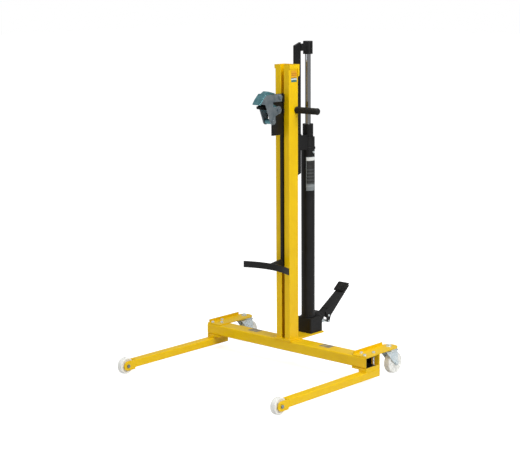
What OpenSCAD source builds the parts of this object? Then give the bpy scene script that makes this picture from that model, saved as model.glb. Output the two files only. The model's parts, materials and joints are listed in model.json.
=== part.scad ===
// Hydraulic drum lifter: a wide straddling chassis on rollers and castors, a slotted mast,
// a sliding carriage with a beak clamp and a drum rest, and a foot-pumped ram behind the mast.
// Millimetres, +Z up, +X to the operator's left when the forks point away, legs reach to -Y.
// Everything is drawn from the crossbeam's front face (y = 0) and then moved by place(), so
// that the origin lies on the floor in the middle of the whole outline.

/* [Chassis] */
// Length of the crossbeam, end to end
beam_length = 990; // [850:5:1200]
// Depth of the crossbeam tube, front to back
beam_depth = 82; // [70:1:90]
// Height of the crossbeam tube
beam_height = 49.5; // [42:0.5:65]
// Wall of the crossbeam tube
beam_wall = 4; // [2.5:0.5:5]
// Distance from the crossbeam's front face to the front roller axle
leg_reach = 570; // [420:5:720]
// Width of a leg tube
leg_width = 42.5; // [38:0.5:52]
// Height of a leg tube
leg_height = 35.5; // [30:0.5:44]
// Height of a leg's underside above the floor
leg_base = 22.5; // [18:0.5:30]
// How far a leg tube runs behind the crossbeam's front face
leg_tail = 102; // [100:1:110]
// Wall of a leg tube
leg_wall = 3; // [2.5:0.5:5]
// Thickness of the packer between a leg and its clamp plate
packer_t = 9.5; // [6:0.5:16]
// Thickness of the clamp plate under the crossbeam
clamp_plate_t = 9; // [6:0.5:12]
// Thickness of the upright that props the bracket behind the crossbeam
upright_t = 8; // [5:0.5:10]

/* [Front rollers] */
// Diameter of a front roller
roller_d = 75; // [60:1:80]
// Width of a front roller
roller_width = 29; // [20:1:30]
// Diameter of the roller axle bolt
roller_axle_d = 10; // [8:1:12]
// Thickness of a roller fork cheek
fork_cheek = 5.5; // [3:0.5:6]
// Height of a roller fork cheek
fork_height = 44; // [40:1:54]

/* [Castors] */
// Diameter of a castor wheel
castor_d = 100; // [80:1:102]
// Width of a castor wheel
castor_width = 32; // [24:1:34]
// Distance from the swivel axis back to the wheel axle
castor_trail = 33; // [24:1:38]
// Swivel axis behind the crossbeam's front face
castor_y = 221; // [210:1:240]
// Radius of the castor's crown plate
crown_r = 45; // [40:1:50]
// Diameter of the castor axle bolt
castor_axle_d = 12; // [8:1:14]
// Diameter of the castor kingpin
kingpin_d = 14; // [12:1:16]

/* [Castor brackets] */
// Width of a castor bracket, which ends in a half circle round the castor
bracket_width = 82; // [76:1:96]
// Thickness of the bracket and its flange
bracket_plate = 5; // [4:0.5:8]
// Height of the flange above the bracket's top face
bracket_flange = 13; // [8:1:25]

/* [Mast] */
// Height of the mast's top above the floor
mast_top = 1416; // [1300:1:1750]
// Width of the mast across both channels
mast_width = 83; // [76:1:96]
// Depth of the mast channels, front to back
mast_depth = 62.5; // [56:0.5:70]
// Wall of a mast channel
mast_wall = 4.5; // [4:0.5:7]
// Width of the slot between the two channels
mast_slot = 18.5; // [16:0.5:24]
// Thickness of the foot plate that carries the mast and the ram
foot_plate_t = 8; // [6:1:12]

/* [Handles] */
// Height of the push handles above the floor
handle_height = 1208; // [900:1:1280]
// Reach of a handle from the mast's middle
handle_reach = 174; // [150:1:260]
// Diameter of a rubber grip
grip_d = 32; // [26:1:38]
// Diameter of the steel stub inside a grip
stub_d = 22; // [16:1:24]

/* [Carriage] */
// How far the carriage can still rise from its parked height
travel_up = 100; // [60:5:140]
// How far the carriage can go down from its parked height
travel_down = 315; // [200:5:330]
// Thickness of the carriage plate
plate_t = 11; // [8:0.5:13]
// Thickness of the lifting bar
bar_t = 12; // [8:0.5:16]
// Height of the web that joins the plate to the lifting bar through the rear slot
web_height = 394; // [300:1:420]
// Depth of the lifting bar, front to back
bar_depth = 40; // [30:1:42]
// Rise of the lifting bar's top above the web
bar_rise = 227; // [200:1:260]
// Diameter of the guide roller axles
guide_axle_d = 16; // [12:1:20]
// Width of a guide roller
guide_width = 22; // [16:1:23]

/* [Drum] */
// Outer radius of the drum that leans on the rest
drum_r = 292; // [240:1:310]
// Width of the drum rest, tip to tip
rest_width = 276; // [200:1:340]
// Height of the drum rest strip
rest_height = 30; // [20:1:45]
// Thickness of the drum rest strip
rest_t = 5; // [4:0.5:8]
// Length of the arm between the carriage plate and the rest
rest_arm_l = 71; // [50:1:100]

/* [Clamp head] */
// Width of the clamp head across its cheeks
head_width = 49; // [45:1:60]
// Thickness of a cheek
cheek_t = 5; // [4:0.5:7]
// Diameter of the clamp head bolts
head_bolt_d = 12; // [10:1:12]
// Thickness of the hood plate
hood_t = 5; // [3:0.5:6]
// Width of the raised crown on the hood
hood_crown = 28; // [20:1:40]

/* [Ram] */
// Outer diameter of the ram tube
ram_d = 64; // [56:1:70]
// Bore of the ram tube
ram_bore = 50; // [44:1:50]
// Diameter of the gland sleeve
gland_d = 50; // [42:1:54]
// Diameter of the chromed rod
rod_d = 27; // [20:0.5:32]
// Ram axis behind the crossbeam's front face
ram_y = 183; // [178:1:190]
// Diameter of the rod head
rod_head_d = 45; // [38:1:48]
// Height of the rod head
rod_head_h = 60; // [45:1:80]
// Height of the gland sleeve that shows above the tube
gland_show = 61; // [40:1:80]

/* [Foot pump] */
// Width of the pump block
block_width = 88; // [76:1:100]
// Length of the pump block, front to back
block_length = 88; // [80:1:96]
// Height of the pump block
block_height = 72; // [62:1:80]
// Pedal pivot behind the crossbeam's front face
pedal_y = 311; // [300:1:325]
// Pedal pivot above the foot plate
pedal_rise = 57; // [54:0.5:62]
// Width of the pedal lever
lever_width = 44; // [40:1:54]
// Diameter of the pump plunger
plunger_d = 16; // [10:1:18]
// Width of the tread pad
pad_width = 66; // [50:1:90]
// Length of the tread pad
pad_length = 55; // [40:1:70]

/* [Hidden] */
$fn = 48;

// Clearances
run_gap = 0.05;     // radial clearance of a shaft that turns or slides in its bore
bolt_gap = 0.2;     // radial clearance of a bolt in its hole
side_gap = 1;       // space beside a turning piece
stop_gap = 11;      // space left at the end of the carriage's travel

// Colours
yellow = "gold";
zinc = "lightsteelblue";
black = "dimgray";
white = "ghostwhite";

// Fastener sizes
m8_d = 8;
m8_hex_r = 7.5;
m8_head_h = 5.3;
m10_hex_r = 9.2;
m10_head_h = 6.4;
m12_hex_r = 10.9;
m12_head_h = 7.5;
kingpin_hex_r = 12;
kingpin_nut_h = 6;
kingpin_washer_t = 2.5;
washer_t = 2;

// Chassis, derived
beam_r = 6;
leg_x = (beam_length - leg_width) / 2;
leg_top = leg_base + leg_height;
beam_base = leg_top + packer_t + clamp_plate_t;
beam_top = beam_base + beam_height;
roller_gap = 6;
fork_web = 6;
fork_web_y = -leg_reach + roller_d / 2 + roller_gap;
tube_front_y = fork_web_y + fork_web;
bracket_top = beam_top + bracket_plate;
bracket_left_x = -beam_length / 2;
bracket_right_x = beam_length / 2 - bracket_width;
bracket_mid = bracket_width / 2;
bracket_front_y = 2;
flange_start = 12;
// Bolts that clamp bracket, crossbeam, packer and leg together; the rear ones pass behind
// the crossbeam's wall through a notch in its corner
bolt_front_y = 17;
bolt_rear_y = beam_depth;
inner_bolt_x = bracket_right_x + 23;
inner_bolt_y = beam_depth / 2;
notch_gap = 5;
notch = beam_length / 2 - leg_x + m8_d / 2 + notch_gap;
notch_y = bolt_rear_y - m8_d / 2 - notch_gap;

// Castor, derived; heights above the floor
castor_z = castor_d / 2;
upper_race_t = 5;
race_gap = 0.5;
lower_race_t = 4.5;
race_z = beam_top - upper_race_t - race_gap - lower_race_t;
crown_t = 4;
crown_z = race_z - crown_t;
castor_leg_t = 3;
castor_leg_r = 11;
castor_half = castor_width / 2 + 1.5;

// Mast, derived
mast_y = 2;
mast_rear = mast_y + mast_depth;
mast_base = beam_top + foot_plate_t;
mast_mid_y = mast_y + mast_depth / 2;
collar_t = 5;
collar_h = 20;
collar_front_h = 19;
collar_rear_h = 55;
collar_leg = 11;
collar_corner = 6;
foot_front_y = -8;
foot_width = 104;
handle_y = mast_rear - stub_d / 2 - 0.5;

// Carriage, derived
web_top = mast_top - collar_h - stop_gap - travel_up;
web_base = web_top - web_height;
floor_gap = 27;
plate_base = mast_base + floor_gap + travel_down;
plate_front_y = -8;
plate_rear_y = mast_rear - mast_wall - 7.5;
bar_front_y = mast_rear + 21.5;
bar_rear_y = bar_front_y + bar_depth;
bar_top = web_top + bar_rise;
bar_slope = 14;
guide_r = (mast_depth - 2 * mast_wall) / 2 - 0.25;
guide_inner_x = plate_t / 2 + 6;
upper_guide_z = web_top - 45;
lower_guide_z = plate_base + 60;

// Ram, derived
head_top = bar_top + 4;
head_base = head_top - rod_head_h;
rod_show = 9;
gland_top = head_base - travel_down - rod_show;
tube_top = gland_top - gland_show;
block_top = mast_base + block_height;
piston_h = 40;
piston_base = block_top + travel_down + 30;
ring_z = tube_top - 57;
ring_h = 9;
tie_h = 70;
tie_x = 14;
tie_t = 6;

// Clamp head, derived: its outlines are drawn from the jaw's pivot
pivot_y = -49;
pivot_z = web_top - 71;
cheek_x = head_width / 2 - cheek_t;
upper_bolt = [7, 58];
lower_bolt = [-39, -50];
jaw_half = cheek_x - side_gap;
jaw_nose_half = 12;
crown_half = hood_crown / 2;
nose_plate_y = -68;
nose_plate_h = 188;
bumper_r = 12;

// Foot pump, derived: the pedal's outlines are drawn from its pivot
pedal_z = mast_base + pedal_rise;
block_front_y = ram_y - ram_d / 2 - 1;
block_rear_y = block_front_y + block_length;
boss_half = 18;
boss_h = 19;
boss_rear_y = block_rear_y + 10;
push_pin = [-2, -28];
push_roller_r = 6;
push_gap = 0.7;
plunger_z = pedal_z - 26;
plunger_end_y = pedal_y + push_pin[0] - push_roller_r - push_gap;
plunger_in = 30;
plunger_stroke = 14;
pin_d = 10;
lug_r = 13;
lever_t = 4;
lug_t = 5.5;
lug_x = lever_width / 2 - lever_t - 0.8 - lug_t;
lever_tail = 158;
pad_t = 8;
pad_tilt = 39.8;
pad_middle = [123.6, 119.4];
// Point of the pad in the pedal's side view: s along the tread, h above its middle
function pad_point(s, h) =
    pad_middle + [s * cos(pad_tilt) - h * sin(pad_tilt), s * sin(pad_tilt) + h * cos(pad_tilt)];
seat_front = pad_point(-pad_length / 2 + 0.5, -pad_t / 2);
seat_rear = pad_point(pad_length / 2 - 1.5, -pad_t / 2);

// Outline of the whole lifter along Y, which sets the origin
front_y = -leg_reach - roller_d / 2;
rear_y = pedal_y + lever_tail;
mid_y = (front_y + rear_y) / 2;

module place() {
    translate([0, -mid_y, 0]) children();
}

// ---- helpers ----

// Rectangle with true round corners, centred
module round_rect(w, h, r) {
    square([w - 2 * r, h], center = true);
    square([w, h - 2 * r], center = true);
    for (sx = [-1, 1], sy = [-1, 1])
        translate([sx * (w / 2 - r), sy * (h / 2 - r)]) circle(r);
}

// Hollow rectangular section, centred
module tube_section(w, h, wall, r) {
    difference() {
        round_rect(w, h, r);
        round_rect(w - 2 * wall, h - 2 * wall, max(r - wall, 1));
    }
}

// Round bar along X between two x values
module x_bar(r, x0, x1) {
    translate([x0, 0, 0]) rotate([0, 90, 0]) cylinder(r = r, h = x1 - x0);
}

// Hexagonal bar along X between two x values
module x_hex(r, x0, x1) {
    translate([x0, 0, 0]) rotate([0, 90, 0]) cylinder(r = r, h = x1 - x0, $fn = 6);
}

// Outline in the Y-Z plane, extruded along X between two x values
module side_plate(x0, x1) {
    translate([x0, 0, 0]) rotate([90, 0, 90]) linear_extrude(x1 - x0) children();
}

// Hexagon bolt along X, its head on +X and its nut on -X, over a grip of 2 * half
module x_bolt(d, hex_r, head_h, half) {
    x_bar(d / 2, -half - head_h, half + head_h - 1);
    x_hex(hex_r, half, half + head_h);
    difference() {
        x_hex(hex_r, -half - head_h + 1, -half);
        x_bar(d / 2, -half - head_h, -half + 1);
    }
}

// ---- chassis ----

module bolt_spots(x_list) {
    for (p = x_list) translate([p[0], p[1], 0]) children();
}

leg_spots = [for (side = [-1, 1], y = [bolt_front_y, bolt_rear_y]) [side * leg_x, y]];
inner_spots = [[-inner_bolt_x, inner_bolt_y], [inner_bolt_x, inner_bolt_y]];

// Vertical holes at every bracket bolt
module bracket_bolt_holes() {
    bolt_spots(concat(leg_spots, inner_spots))
        translate([0, 0, leg_base + leg_wall + 1])
            cylinder(r = m8_d / 2 + bolt_gap, h = bracket_top - leg_base);
}

module crossbeam() {
    color(yellow) place() difference() {
        translate([-beam_length / 2, beam_depth / 2, beam_base + beam_height / 2])
            rotate([90, 0, 90])
                linear_extrude(beam_length) tube_section(beam_depth, beam_height, beam_wall, beam_r);
        for (x0 = [-beam_length / 2 - 1, beam_length / 2 - notch]) translate([x0, notch_y, beam_base - 1])
            cube([notch + 1, beam_depth, beam_height + 2]);
        bracket_bolt_holes();
    }
}

module leg(side) {
    length = leg_tail - tube_front_y;
    difference() {
        translate([side * leg_x, leg_tail, leg_base + leg_height / 2])
            rotate([90, 0, 0])
                linear_extrude(length) tube_section(leg_width, leg_height, leg_wall, 4);
        bracket_bolt_holes();
    }
}

module leg_left() {
    color(yellow) place() leg(-1);
}

module leg_right() {
    color(yellow) place() leg(1);
}

// U-shaped fork welded to a leg's front end
module roller_fork(side) {
    cheek_x0 = leg_width / 2 - fork_cheek;
    translate([side * leg_x, 0, 0]) {
        translate([-leg_width / 2, fork_web_y, leg_base]) cube([leg_width, fork_web, leg_height]);
        for (s = [-1, 1]) difference() {
            side_plate(s > 0 ? cheek_x0 : -leg_width / 2, s > 0 ? leg_width / 2 : -cheek_x0) {
                translate([-leg_reach, roller_d / 2]) circle(fork_height / 2);
                translate([-leg_reach, roller_d / 2 - fork_height / 2])
                    square([fork_web_y + leg_reach, fork_height]);
            }
            translate([0, -leg_reach, roller_d / 2])
                x_bar(roller_axle_d / 2 + bolt_gap, -leg_width, leg_width);
        }
    }
}

module roller_fork_left() {
    color(yellow) place() roller_fork(-1);
}

module roller_fork_right() {
    color(yellow) place() roller_fork(1);
}

module roller_axles() {
    color(zinc) place() for (side = [-1, 1])
        translate([side * leg_x, -leg_reach, roller_d / 2])
            x_bolt(roller_axle_d, m10_hex_r, m10_head_h, leg_width / 2);
}

// Wheel turned about X: a tread with chamfered shoulders, a dished side and a raised hub
module wheel(d, width, bore_d, hub_r, dish) {
    half = width / 2;
    rim = d / 2 - 9;
    rotate([0, 90, 0]) rotate_extrude($fn = 96) polygon([
        [bore_d / 2 + run_gap, -half], [hub_r, -half], [hub_r + 3, -half + dish],
        [rim, -half + dish], [rim + 2, -half + 1], [d / 2 - 3, -half + 1], [d / 2, -half + 5],
        [d / 2, half - 5], [d / 2 - 3, half - 1], [rim + 2, half - 1], [rim, half - dish],
        [hub_r + 3, half - dish], [hub_r, half], [bore_d / 2 + run_gap, half]
    ]);
}

module front_roller(side) {
    translate([side * leg_x, -leg_reach, roller_d / 2])
        wheel(roller_d, roller_width, roller_axle_d, 12, 3);
}

module front_roller_left() {
    color(white) place() front_roller(-1);
}

module front_roller_right() {
    color(white) place() front_roller(1);
}

// Packer on each leg, as wide as the leg
module leg_packers() {
    color(yellow) place() difference() {
        for (side = [-1, 1]) translate([side * leg_x - leg_width / 2, 0, leg_top])
            cube([leg_width, leg_tail, packer_t]);
        bracket_bolt_holes();
    }
}

// Plate under each end of the crossbeam, as wide as the castor bracket above
module clamp_plates() {
    color(yellow) place() difference() {
        for (x0 = [bracket_left_x, bracket_right_x]) translate([x0, 0, leg_top + packer_t])
            cube([bracket_width, leg_tail, clamp_plate_t]);
        bracket_bolt_holes();
    }
}

// Prop behind each end of the crossbeam
module bracket_uprights() {
    color(yellow) place() for (side = [-1, 1])
        translate([side * leg_x - leg_width / 2, leg_tail - upright_t, beam_base])
            cube([leg_width, upright_t, beam_height]);
}

// Angle that lies on the crossbeam and carries a castor under its round tail
module castor_bracket(x0) {
    difference() {
        union() {
            translate([x0, bracket_front_y, beam_top])
                cube([bracket_width, castor_y - bracket_front_y, bracket_plate]);
            translate([x0 + bracket_mid, castor_y, beam_top])
                cylinder(r = bracket_mid, h = bracket_plate);
            translate([x0, flange_start, bracket_top])
                cube([bracket_plate, castor_y - flange_start, bracket_flange]);
        }
        translate([x0 + bracket_mid, castor_y, beam_top - 1])
            cylinder(r = kingpin_d / 2 + bolt_gap, h = bracket_plate + 2);
        bracket_bolt_holes();
    }
}

module castor_bracket_left() {
    color(yellow) place() castor_bracket(bracket_left_x);
}

module castor_bracket_right() {
    color(yellow) place() castor_bracket(bracket_right_x);
}

// Bolt with washer and head on the bracket and a nut at the height nut_top
module bracket_bolt(nut_top) {
    translate([0, 0, nut_top - m8_head_h - 2])
        cylinder(r = m8_d / 2, h = bracket_top + washer_t - nut_top + m8_head_h + 3);
    translate([0, 0, bracket_top + washer_t]) cylinder(r = m8_hex_r, h = m8_head_h, $fn = 6);
    difference() {
        union() {
            translate([0, 0, bracket_top]) cylinder(r = m8_hex_r + 1, h = washer_t);
            translate([0, 0, nut_top - m8_head_h]) cylinder(r = m8_hex_r, h = m8_head_h, $fn = 6);
        }
        translate([0, 0, nut_top - 20]) cylinder(r = m8_d / 2, h = 200);
    }
}

module bracket_bolts() {
    color(zinc) place() {
        bolt_spots(leg_spots) bracket_bolt(leg_top - leg_wall);
        bolt_spots(inner_spots) bracket_bolt(leg_top + packer_t);
    }
}

// ---- castors ----

// Fixed half of a castor: upper race, kingpin and nut
module castor_head(x0) {
    nut_z = bracket_top + kingpin_washer_t;
    translate([x0 + bracket_mid, castor_y, 0]) {
        translate([0, 0, beam_top - upper_race_t]) cylinder(r = 35, h = upper_race_t);
        translate([0, 0, crown_z - 8]) cylinder(r = 12, h = 7.6);
        translate([0, 0, crown_z - 1]) cylinder(r = kingpin_d / 2, h = nut_z + kingpin_nut_h + 3 - crown_z);
        translate([0, 0, bracket_top]) cylinder(r = kingpin_hex_r + 2, h = kingpin_washer_t);
        translate([0, 0, nut_z]) cylinder(r = kingpin_hex_r, h = kingpin_nut_h, $fn = 6);
    }
}

module castor_head_left() {
    color(zinc) place() castor_head(bracket_left_x);
}

module castor_head_right() {
    color(zinc) place() castor_head(bracket_right_x);
}

// Swivelling fork: lower race, crown and two tapering legs that trail to the wheel axle
module castor_fork(x0) {
    outer = castor_half + castor_leg_t;
    translate([x0 + bracket_mid, castor_y, 0]) difference() {
        union() {
            translate([0, 0, race_z]) cylinder(r1 = 35, r2 = 32, h = lower_race_t);
            translate([0, 0, crown_z]) linear_extrude(crown_t) intersection() {
                circle(crown_r);
                square([2 * outer + 24, 2 * crown_r], center = true);
            }
            for (s = [-1, 1])
                side_plate(s > 0 ? castor_half : -outer, s > 0 ? outer : -castor_half) {
                    polygon([[-crown_r + 5, crown_z], [crown_r - 5, crown_z],
                             [castor_trail + castor_leg_r, crown_z - 20],
                             [castor_trail + castor_leg_r, castor_z],
                             [castor_trail - 0.7 * castor_leg_r, castor_z - 0.7 * castor_leg_r]]);
                    translate([castor_trail, castor_z]) circle(castor_leg_r);
                }
        }
        translate([0, 0, crown_z - 1])
            cylinder(r = kingpin_d / 2 + run_gap, h = 60);
        translate([0, castor_trail, castor_z])
            x_bar(castor_axle_d / 2 + bolt_gap, -60, 60);
    }
}

module castor_fork_left() {
    color(zinc) place() castor_fork(bracket_left_x);
}

module castor_fork_right() {
    color(zinc) place() castor_fork(bracket_right_x);
}

module castor_axle(x0) {
    translate([x0 + bracket_mid, castor_y + castor_trail, castor_z])
        x_bolt(castor_axle_d, m12_hex_r - 1, m12_head_h, castor_half + castor_leg_t);
}

module castor_axle_left() {
    color(zinc) place() castor_axle(bracket_left_x);
}

module castor_axle_right() {
    color(zinc) place() castor_axle(bracket_right_x);
}

module castor_wheel(x0) {
    translate([x0 + bracket_mid, castor_y + castor_trail, castor_z])
        wheel(castor_d, castor_width, castor_axle_d, 17, 5);
}

module castor_wheel_left() {
    color(white) place() castor_wheel(bracket_left_x);
}

module castor_wheel_right() {
    color(white) place() castor_wheel(bracket_right_x);
}

// ---- mast ----

module foot_plate() {
    color(yellow) place()
        translate([-foot_width / 2, foot_front_y, beam_top])
            cube([foot_width, block_rear_y - foot_front_y, foot_plate_t]);
}

// Channel whose open side faces the slot
module mast_channel(side) {
    half = (mast_width - mast_slot) / 2;
    x_mid = side * (mast_slot / 2 + half / 2);
    translate([x_mid, mast_mid_y, mast_base]) linear_extrude(mast_top - mast_base) difference() {
        round_rect(half, mast_depth, 2);
        translate([-side * mast_wall, 0])
            square([half, mast_depth - 2 * mast_wall], center = true);
    }
}

module mast_channel_left() {
    color(yellow) place() mast_channel(-1);
}

module mast_channel_right() {
    color(yellow) place() mast_channel(1);
}

// Strap that ties the channels at the top and stops the carriage; each side has a leg that
// runs down the channel's rear corner
module mast_collar() {
    half = mast_width / 2;
    rear = mast_rear + collar_t;
    color(yellow) place() {
        for (x0 = [-half - collar_t, half]) side_plate(x0, x0 + collar_t)
            polygon([[mast_y, mast_top - collar_front_h],
                     [rear - collar_leg, mast_top - collar_front_h],
                     [rear - collar_leg, mast_top - collar_rear_h],
                     [rear - collar_corner, mast_top - collar_rear_h],
                     [rear, mast_top - collar_rear_h + collar_corner],
                     [rear, mast_top], [mast_y, mast_top]]);
        translate([-half - collar_t, mast_rear, mast_top - collar_h])
            cube([mast_width + 2 * collar_t, collar_t, collar_h]);
    }
}

module handle_stubs() {
    color(black) place() for (s = [-1, 1]) translate([0, handle_y, handle_height])
        x_bar(stub_d / 2, s > 0 ? mast_width / 2 : -handle_reach + 8,
              s > 0 ? handle_reach - 8 : -mast_width / 2);
}

// Rubber grip with shallow finger rings and a domed end, along +X
module grip() {
    inner = mast_width / 2 + 1;
    r = grip_d / 2;
    ring_gap = (handle_reach - inner) / 5;
    rotate([0, 90, 0]) rotate_extrude() difference() {
        union() {
            translate([0, inner]) square([r, handle_reach - inner - 6]);
            translate([0, handle_reach - 6]) square([r - 6, 6]);
            intersection() {
                translate([r - 6, handle_reach - 6]) circle(6);
                translate([0, inner]) square([r, handle_reach - inner]);
            }
        }
        translate([-1, inner - 1]) square([stub_d / 2 + 1, handle_reach - 8 - inner + 1]);
        for (i = [1 : 4]) translate([r + 1.2, inner + i * ring_gap]) circle(3);
    }
}

module handle_grip_left() {
    color(black) place() translate([0, handle_y, handle_height]) rotate([0, 0, 180]) grip();
}

module handle_grip_right() {
    color(black) place() translate([0, handle_y, handle_height]) grip();
}

// ---- ram ----

// Tube with a welded base ring, standing on the pump block
module ram_tube() {
    color(black) place() translate([0, ram_y, 0]) difference() {
        union() {
            translate([0, 0, block_top]) cylinder(r = ram_d / 2, h = tube_top - block_top);
            translate([0, 0, block_top]) cylinder(r = ram_d / 2 + 1, h = 8);
        }
        translate([0, 0, block_top - 1]) cylinder(r = ram_bore / 2, h = tube_top);
    }
}

module ram_gland() {
    color(black) place() translate([0, ram_y, 0]) difference() {
        union() {
            translate([0, 0, tube_top - 40]) cylinder(r = ram_bore / 2 - 0.1, h = 40);
            translate([0, 0, tube_top]) cylinder(r = gland_d / 2, h = gland_show);
        }
        translate([0, 0, tube_top - 41]) cylinder(r = rod_d / 2 + run_gap, h = gland_show + 42);
    }
}

// Ring round the ram's top with two arms that pass either side of the lifting bar and
// tie the ram to the mast
module ram_bracket() {
    color(black) place() difference() {
        union() {
            translate([0, ram_y, ring_z]) cylinder(r = ram_d / 2 + 3, h = ring_h);
            for (x0 = [-tie_x - tie_t, tie_x]) translate([x0, mast_rear, ring_z])
                cube([tie_t, ram_y - mast_rear, tie_h]);
        }
        translate([0, ram_y, ring_z - 1]) cylinder(r = ram_d / 2, h = tie_h + 2);
    }
}

module bleed_plug() {
    color(zinc) place() translate([0, ram_y, ring_z - 14]) difference() {
        x_hex(5.5, ram_d / 2 - 2, ram_d / 2 + 6);
        translate([0, 0, -10]) cylinder(r = ram_d / 2, h = 20);
    }
}

module ram_piston() {
    color(zinc) place() translate([0, ram_y, piston_base]) difference() {
        cylinder(r = ram_bore / 2 - run_gap, h = piston_h);
        translate([0, 0, 10]) cylinder(r = 12, h = piston_h);
        for (z = [8, 26]) translate([0, 0, z]) rotate_extrude()
            translate([ram_bore / 2 - 2, 0]) square([4, 4]);
    }
}

module ram_rod() {
    rod_base = piston_base + piston_h;
    color(zinc) place() translate([0, ram_y, 0]) {
        translate([0, 0, rod_base]) cylinder(r = rod_d / 2, h = head_base + 20 - rod_base);
        translate([0, 0, piston_base + 10]) cylinder(r = 12, h = piston_h);
    }
}

// Cap on the rod, welded to a block that is bolted to the lifting bar
module rod_head() {
    color(black) place() difference() {
        union() {
            translate([0, ram_y, head_base]) cylinder(r = rod_head_d / 2, h = rod_head_h - 2);
            translate([0, ram_y, head_top - 2])
                cylinder(r1 = rod_head_d / 2, r2 = rod_head_d / 2 - 2, h = 2);
            translate([-9, bar_rear_y, head_base + 16])
                cube([18, ram_y - bar_rear_y - rod_d / 2, 33]);
        }
        translate([0, ram_y, head_base - 1]) cylinder(r = rod_d / 2, h = 21);
    }
}

// ---- carriage ----

// Side view of the carriage plate: the strip in the front slot, the web through the
// rear slot and the nose that holds the clamp head
module carriage_outline() {
    polygon([
        [plate_front_y, plate_base], [plate_rear_y, plate_base], [plate_rear_y, web_base],
        [bar_front_y, web_base], [bar_front_y, web_top], [nose_plate_y + 6, web_top],
        [nose_plate_y, web_top - 6], [nose_plate_y, web_top - nose_plate_h],
        [plate_front_y, web_top - nose_plate_h]
    ]);
}

module carriage_plate() {
    holes = [[mast_mid_y, upper_guide_z], [mast_mid_y, lower_guide_z]];
    bolts = [[pivot_y, pivot_z], [pivot_y + upper_bolt[0], pivot_z + upper_bolt[1]]];
    color(black) place() difference() {
        side_plate(-plate_t / 2, plate_t / 2) carriage_outline();
        for (p = holes) translate([0, p[0], p[1]])
            x_bar(guide_axle_d / 2, -plate_t, plate_t);
        for (p = bolts) translate([0, p[0], p[1]])
            x_bar(head_bolt_d / 2 + bolt_gap, -plate_t, plate_t);
    }
}

// Bar behind the mast that the ram's rod pushes up; both ends are cut on the slant
module lifting_bar() {
    color(black) place() side_plate(-bar_t / 2, bar_t / 2) polygon([
        [bar_front_y, web_base], [bar_rear_y, web_base + bar_slope], [bar_rear_y, bar_top],
        [bar_front_y, bar_top - bar_slope]
    ]);
}

module guide_axles() {
    color(zinc) place() for (z = [upper_guide_z, lower_guide_z])
        translate([0, mast_mid_y, z]) {
            x_bar(guide_axle_d / 2, -guide_inner_x - guide_width - 1, guide_inner_x + guide_width + 1);
            for (s = [-1, 1])
                x_bar(12, s > 0 ? plate_t / 2 : -guide_inner_x + 0.5,
                      s > 0 ? guide_inner_x - 0.5 : -plate_t / 2);
        }
}

// Roller inside a channel
module guide_roller(side, z) {
    half = guide_width / 2;
    translate([side * (guide_inner_x + half), mast_mid_y, z])
        rotate([0, 90, 0]) rotate_extrude() polygon([
            [guide_axle_d / 2 + run_gap, -half], [guide_r - 2, -half], [guide_r, -half + 2],
            [guide_r, half - 2], [guide_r - 2, half], [guide_axle_d / 2 + run_gap, half]
        ]);
}

module guide_roller_upper_left() {
    color(zinc) place() guide_roller(-1, upper_guide_z);
}

module guide_roller_upper_right() {
    color(zinc) place() guide_roller(1, upper_guide_z);
}

module guide_roller_lower_left() {
    color(zinc) place() guide_roller(-1, lower_guide_z);
}

module guide_roller_lower_right() {
    color(zinc) place() guide_roller(1, lower_guide_z);
}

// Pads on the carriage plate that run along the mast's front face
module slide_pads() {
    pads = [[web_top - 40, 37], [web_top - 88, 19]];
    color(black) place() for (p = pads, x0 = [-plate_t / 2 - 9, plate_t / 2])
        translate([x0, plate_front_y, p[0]]) cube([9, mast_y - plate_front_y - 0.8, p[1]]);
}

// ---- clamp head ----

// Side view of a cheek: a sloping beak, a notch over the pivot lobe and an arm that
// tapers to a round end
module cheek_outline() {
    polygon([
        [-119, 34], [-104, 53], [-82, 72], [15, 72], [22, 66], [22, 38], [-39, 38], [-37, 15],
        [1, 15], [13, -14], [-23, -25], [-24, -48], [-54, -54], [-80, 11], [-89, 30]
    ]);
    circle(18);
    translate(lower_bolt) circle(15);
}

module clamp_cheek(side) {
    x0 = side > 0 ? cheek_x : -head_width / 2;
    translate([0, pivot_y, pivot_z]) difference() {
        side_plate(x0, x0 + cheek_t) cheek_outline();
        for (p = [[0, 0], upper_bolt, lower_bolt]) translate([0, p[0], p[1]])
            x_bar(head_bolt_d / 2 + bolt_gap, -head_width, head_width);
    }
}

module clamp_cheek_left() {
    color(zinc) place() clamp_cheek(-1);
}

module clamp_cheek_right() {
    color(zinc) place() clamp_cheek(1);
}

// Bent plate that hooks over the drum's rim, with two webs between the cheeks
module clamp_hood() {
    color(zinc) place() translate([0, pivot_y, pivot_z]) {
        side_plate(-head_width / 2, head_width / 2) polygon([
            [-124, 34], [-108, 55], [-84, 72 + hood_t], [-60, 72 + hood_t], [-60, 72],
            [-82, 72], [-104, 53], [-119, 34], [-119, 30], [-123, 30]
        ]);
        side_plate(-crown_half, crown_half)
            polygon([[-82, 72 + hood_t], [-62, 83 + hood_t], [-16, 77], [-16, 72], [-60, 72],
                     [-60, 72 + hood_t]]);
    }
}

module clamp_bolts() {
    bolts = [[0, 0], upper_bolt, lower_bolt];
    color(zinc) place() translate([0, pivot_y, pivot_z]) {
        for (p = bolts) translate([0, p[0], p[1]])
            x_bolt(head_bolt_d, m12_hex_r, m12_head_h, head_width / 2);
        for (s = [-1, 1]) translate([0, upper_bolt[0], upper_bolt[1]]) difference() {
            x_bar(10, s > 0 ? plate_t / 2 : -cheek_x, s > 0 ? cheek_x : -plate_t / 2);
            x_bar(head_bolt_d / 2, -head_width, head_width);
        }
    }
}

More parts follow.
